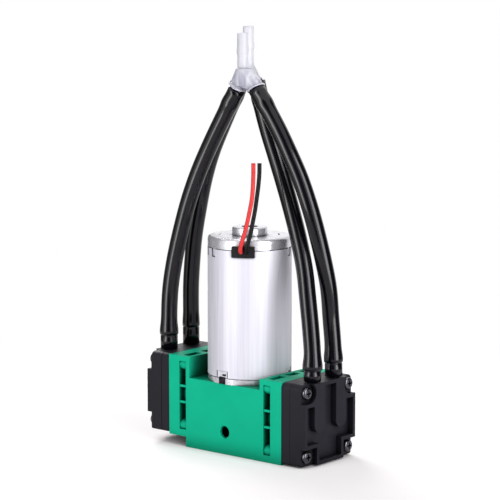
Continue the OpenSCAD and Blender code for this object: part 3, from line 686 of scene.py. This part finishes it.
# The bevel's width for each piece, and the pieces whose bevel mustn't shrink at short edges
SOFTENED = {
    "base_frame": 0.25, "left_valve_plate": 0.4, "right_valve_plate": 0.4,
    "left_head_cover": 0.4, "right_head_cover": 0.4,
}
LOOSE_BEVELS = ("left_valve_plate", "right_valve_plate")
WELD_REACH = 0.002
FLAT_ANGLE = 0.5
SHARP_ANGLE = 35
BEVEL_SEGMENTS = 2


def soften(node, width):
    """Rounds a CAD piece's sharp edges, as moulding or tumbling leaves them."""
    piece = frame["nodes"][node]
    weld = piece.modifiers.new("weld", "WELD")
    weld.merge_threshold = WELD_REACH * MM
    flat = piece.modifiers.new("flat", "DECIMATE")
    flat.decimate_type = "DISSOLVE"
    flat.angle_limit = math.radians(FLAT_ANGLE)
    bevel = piece.modifiers.new("bevel", "BEVEL")
    bevel.width = width * MM
    bevel.segments = BEVEL_SEGMENTS
    bevel.limit_method = "ANGLE"
    bevel.angle_limit = math.radians(SHARP_ANGLE)
    bevel.use_clamp_overlap = node not in LOOSE_BEVELS
    piece.modifiers.new("normals", "WEIGHTED_NORMAL")
    for face in piece.data.polygons:
        face.use_smooth = True


for node_name, node_object in frame["nodes"].items():
    finish = FINISHES.get(node_name, SLOTS[node_name])
    node_object.data.materials.clear()
    node_object.data.materials.append(MATERIALS[finish])
for node_name, bevel_width in SOFTENED.items():
    soften(node_name, bevel_width)


# Black blocks in the front cap's notches, which paint the shade in them

NOTCH_SHADE_ANGLES = (-1.4, 109, 225)
NOTCH_SHADE_W = 4.2
NOTCH_SHADE_R = (19.8, 20.95)
NOTCH_SHADE_Z = (35.65, 39.2)
NOTCH_SHADE_BEVEL = 0.25


def add_notch_shade_blocks():
    """Rounded black blocks around the motor's axis, one for each notch, as painted shade."""
    mesh = bmesh.new()
    for angle in NOTCH_SHADE_ANGLES:
        made = bmesh.ops.create_cube(mesh, size=1.0)["verts"]
        turn = Matrix.Rotation(math.radians(angle), 3, "Z")
        for vert in made:
            vert.co.x *= NOTCH_SHADE_W
            vert.co.y = -sum(NOTCH_SHADE_R) / 2 + vert.co.y * (NOTCH_SHADE_R[1] - NOTCH_SHADE_R[0])
            vert.co.z = sum(NOTCH_SHADE_Z) / 2 + vert.co.z * (NOTCH_SHADE_Z[1] - NOTCH_SHADE_Z[0])
            vert.co = turn @ vert.co * MM
    bmesh.ops.bevel(mesh, geom=mesh.edges[:], offset=NOTCH_SHADE_BEVEL * MM,
                    segments=BEVEL_SEGMENTS, affect="EDGES")
    add_piece("front_cap_notch_shade", mesh, "black_plastic")


add_notch_shade_blocks()


# The floor, the light and the background, in metres

FLOOR_R = 0.36
FLOOR_SIDES = 96
FLOOR_DROP = 0.00002
FLOOR_FADE = (0.2, 0.33)
FLOOR_COLOUR = (0.74, 0.7, 0.715, 1)
FLOOR_GLOW = 0.44
# Painted contact shadow: the glow fades out as the open share of the space within the reach
# falls from the second value to the first
FLOOR_PAINTED_SHADOW = (0.3, 0.7)
FLOOR_PAINTED_SHADOW_REACH = 0.015
WORLD_LIGHT = 0.14
WORLD_SEEN = 1.0


def floor_material():
    """A pale table that glows faintly where it is open, which paints a contact shadow near the
    pump, and is white to the camera far out.
    """
    material = bpy.data.materials.new("floor")
    material.use_nodes = True
    tree = material.node_tree
    tree.nodes.clear()
    diffuse = tree.nodes.new("ShaderNodeBsdfDiffuse")
    diffuse.inputs["Color"].default_value = FLOOR_COLOUR
    # Painted contact shadow: the glow is dimmed where the pump closes in the space above the
    # floor
    near = tree.nodes.new("ShaderNodeAmbientOcclusion")
    near.samples = AO_SAMPLES
    near.inputs["Distance"].default_value = FLOOR_PAINTED_SHADOW_REACH
    painted_shade_mask = map_range(tree, near.outputs["AO"], 0.0, FLOOR_GLOW, *FLOOR_PAINTED_SHADOW)
    glow = tree.nodes.new("ShaderNodeEmission")
    tree.links.new(painted_shade_mask, glow.inputs["Strength"])
    lit_plus_painted_shadow = tree.nodes.new("ShaderNodeAddShader")
    tree.links.new(diffuse.outputs[0], lit_plus_painted_shadow.inputs[0])
    tree.links.new(glow.outputs[0], lit_plus_painted_shadow.inputs[1])
    place = tree.nodes.new("ShaderNodeTexCoord").outputs["Object"]
    outwards = tree.nodes.new("ShaderNodeVectorMath")
    outwards.operation = "LENGTH"
    tree.links.new(place, outwards.inputs[0])
    fade = map_range(tree, outwards.outputs["Value"], 0.0, 1.0, *FLOOR_FADE,
                     interpolation="SMOOTHSTEP")
    white = tree.nodes.new("ShaderNodeEmission")
    seen = mix_shader(tree, fade, lit_plus_painted_shadow.outputs[0], white.outputs[0])
    ray = tree.nodes.new("ShaderNodeLightPath")
    surface = mix_shader(tree, ray.outputs["Is Camera Ray"], diffuse.outputs[0], seen)
    tree.links.new(surface, tree.nodes.new("ShaderNodeOutputMaterial").inputs[0])
    return material


def add_floor():
    """A round table, which keeps the pump's shadow, both cast and painted."""
    mesh = bmesh.new()
    bmesh.ops.create_circle(mesh, cap_ends=True, segments=FLOOR_SIDES, radius=FLOOR_R)
    floor = add_object("floor", mesh, floor_material())
    floor.location.z = -FLOOR_DROP


def add_world():
    """A pale studio: white where the camera, gloss and clear plastic look, softer as light."""
    world = bpy.data.worlds.new("studio")
    bpy.context.scene.world = world
    world.use_nodes = True
    tree = world.node_tree
    tree.nodes.clear()
    backgrounds = []
    for strength in (WORLD_LIGHT, WORLD_SEEN):
        background = tree.nodes.new("ShaderNodeBackground")
        background.inputs["Color"].default_value = (1, 1, 1, 1)
        background.inputs["Strength"].default_value = strength
        backgrounds.append(background.outputs[0])
    path = tree.nodes.new("ShaderNodeLightPath")
    seen = path.outputs["Is Camera Ray"]
    for ray in ("Is Glossy Ray", "Is Transmission Ray"):
        either = tree.nodes.new("ShaderNodeMath")
        either.operation = "MAXIMUM"
        tree.links.new(seen, either.inputs[0])
        tree.links.new(path.outputs[ray], either.inputs[1])
        seen = either.outputs[0]
    surface = mix_shader(tree, seen, *backgrounds)
    tree.links.new(surface, tree.nodes.new("ShaderNodeOutputWorld").inputs[0])


def around(azimuth, distance, height):
    """A place around the pump, its azimuth measured from the front towards the right head."""
    angle = math.radians(azimuth)
    return Vector((distance * math.sin(angle), -distance * math.cos(angle), height))


def face_pump(thing, target_height):
    """Turns a lamp or a card so that its face looks at the pump's axis."""
    away = thing.location - Vector((0, 0, target_height))
    thing.rotation_euler = away.to_track_quat("Z", "Y").to_euler()


def add_softbox(name, azimuth, distance, height, size, power, target_height=None,
                in_gloss=True):
    """A rectangular lamp, width by height, that faces the pump."""
    data = bpy.data.lights.new(name, "AREA")
    data.shape = "RECTANGLE"
    data.size, data.size_y = size
    data.energy = power
    lamp = bpy.data.objects.new(name, data)
    lamp.visible_glossy = in_gloss
    lamp.location = around(azimuth, distance, height)
    face_pump(lamp, height if target_height is None else target_height)
    bpy.context.scene.collection.objects.link(lamp)


def add_flag(name, azimuth, distance, height, size, grey):
    """A grey card beside the pump that only gloss sees, as in a studio."""
    material = bpy.data.materials.new(name)
    material.use_nodes = True
    tree = material.node_tree
    tree.nodes.clear()
    glow = tree.nodes.new("ShaderNodeEmission")
    glow.inputs["Strength"].default_value = grey
    tree.links.new(glow.outputs[0], tree.nodes.new("ShaderNodeOutputMaterial").inputs[0])
    mesh = bmesh.new()
    bmesh.ops.create_grid(mesh, x_segments=1, y_segments=1, size=0.5)
    card = add_object(name, mesh, material)
    card.scale = (*size, 1)
    card.location = around(azimuth, distance, height)
    face_pump(card, height)
    card.visible_camera = False
    card.visible_diffuse = False
    card.visible_shadow = False
    card.visible_transmission = False


add_floor()
add_world()
add_softbox("left_box", azimuth=-13, distance=0.75, height=0.22, size=(0.26, 1.0),
            power=3.7)
add_softbox("right_box", azimuth=84, distance=0.75, height=0.22, size=(0.34, 1.0),
            power=5.0)
add_softbox("back_box", azimuth=240, distance=0.62, height=0.62, size=(0.4, 0.4),
            power=4.8, target_height=0.05)
add_softbox("fill_box", azimuth=64, distance=1.2, height=0.3, size=(0.7, 0.9),
            power=7.2, target_height=0.1, in_gloss=False)
add_flag("front_flag", azimuth=31, distance=0.6, height=0.15, size=(0.45, 1.2), grey=0.06)
add_flag("right_flag", azimuth=132, distance=0.55, height=0.15, size=(0.62, 1.1), grey=0.03)
add_flag("left_flag", azimuth=-82, distance=0.55, height=0.15, size=(0.74, 1.1), grey=0.2)
bpy.context.scene.view_settings.view_transform = "Standard"
